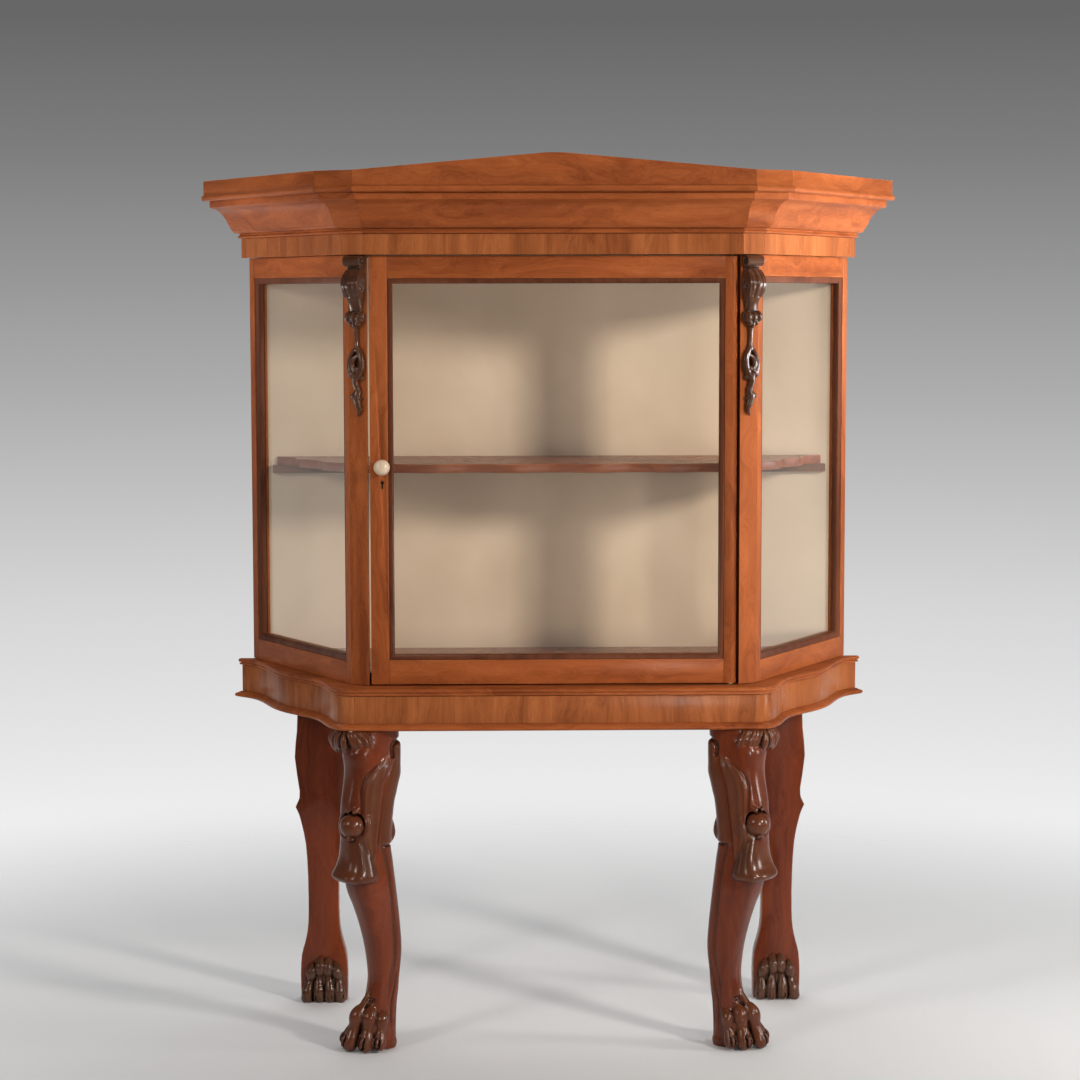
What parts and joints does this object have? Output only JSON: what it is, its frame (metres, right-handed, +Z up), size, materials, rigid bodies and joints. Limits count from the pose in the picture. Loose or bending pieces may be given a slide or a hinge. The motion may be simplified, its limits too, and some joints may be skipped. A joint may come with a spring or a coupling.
{
  "type": "glass display cabinet",
  "caption": "Free-standing display cabinet: canted glazed case with a hinged glass door, waved shelf and moulded cornice, on a serpentine base with carved paw legs.",
  "frame": {"origin": "on the floor, under the middle of the overall width and depth", "axes": "+X to the right seen from the front, +Y towards the back, +Z up; the door faces -Y"},
  "size_m": [1.1544, 0.397, 1.4],
  "materials": {
    "case_wood": "polished mahogany",
    "veneer_wood": "polished figured veneer",
    "leg_wood": "polished dark mahogany",
    "carving_wood": "dark polished carving",
    "bead_wood": "dark stained, satin",
    "shelf_wood": "polished mahogany",
    "back_wood": "plain, unpolished",
    "lining": "matt cream",
    "pane_glass": "clear",
    "ivory": "satin ivory",
    "brass": "aged"
  },
  "bodies": {
    "cabinet": {"back_lining": "lining", "back_panel": "back_wood", "base_back_rail": "back_wood", "base_bottom_board": "case_wood", "base_front_rail": "veneer_wood", "base_side_rail_left": "veneer_wood", "base_side_rail_right": "veneer_wood", "base_top_board": "case_wood", "case_ceiling": "back_wood", "case_floor": "shelf_wood", "corbel_left": "carving_wood", "corbel_right": "carving_wood", "corner_post_left": "case_wood", "corner_post_right": "case_wood", "cornice_back": "back_wood", "cornice_facet_left": "case_wood", "cornice_facet_right": "case_wood", "cornice_front": "case_wood", "cornice_side_left": "case_wood", "cornice_side_right": "case_wood", "frieze_facet_left": "veneer_wood", "frieze_facet_right": "veneer_wood", "frieze_front": "veneer_wood", "frieze_side_left": "veneer_wood", "frieze_side_right": "veneer_wood", "front_leg_left": "leg_wood", "front_leg_right": "leg_wood", "hinge_pin_bottom": "brass", "hinge_pin_top": "brass", "pediment": "case_wood", "rear_leg_left": "leg_wood", "rear_leg_right": "leg_wood", "rear_paw_left": "carving_wood", "rear_paw_right": "carving_wood", "shelf": "shelf_wood", "shelf_batten": "back_wood", "side_bead_left": "bead_wood", "side_bead_right": "bead_wood", "side_glass_left": "pane_glass", "side_glass_right": "pane_glass", "side_rail_bottom_left": "case_wood", "side_rail_bottom_right": "case_wood", "side_rail_top_left": "case_wood", "side_rail_top_right": "case_wood", "side_stile_front_left": "case_wood", "side_stile_front_right": "case_wood", "side_stile_rear_left": "case_wood", "side_stile_rear_right": "case_wood", "top_board": "back_wood"},
    "door": {"door_bead": "bead_wood", "door_glass": "pane_glass", "door_hinge_stile": "case_wood", "door_knob": "ivory", "door_lock_stile": "case_wood", "door_rail_bottom": "case_wood", "door_rail_top": "case_wood", "lock_case": "brass"},
    "lock_bolt": {"lock_bolt": "brass"}
  },
  "joints": [
    {"name": "door_hinge", "type": "hinge", "parent": "cabinet", "child": "door", "pos_m": [0.27555, -0.1205, 0.579], "axis": [0, 0, 1], "range_deg": [0, 105]},
    {"name": "bolt_slide", "type": "slide", "parent": "door", "child": "lock_bolt", "axis": [-1, 0, 0], "range_m": [0, 0.008]}
  ]
}
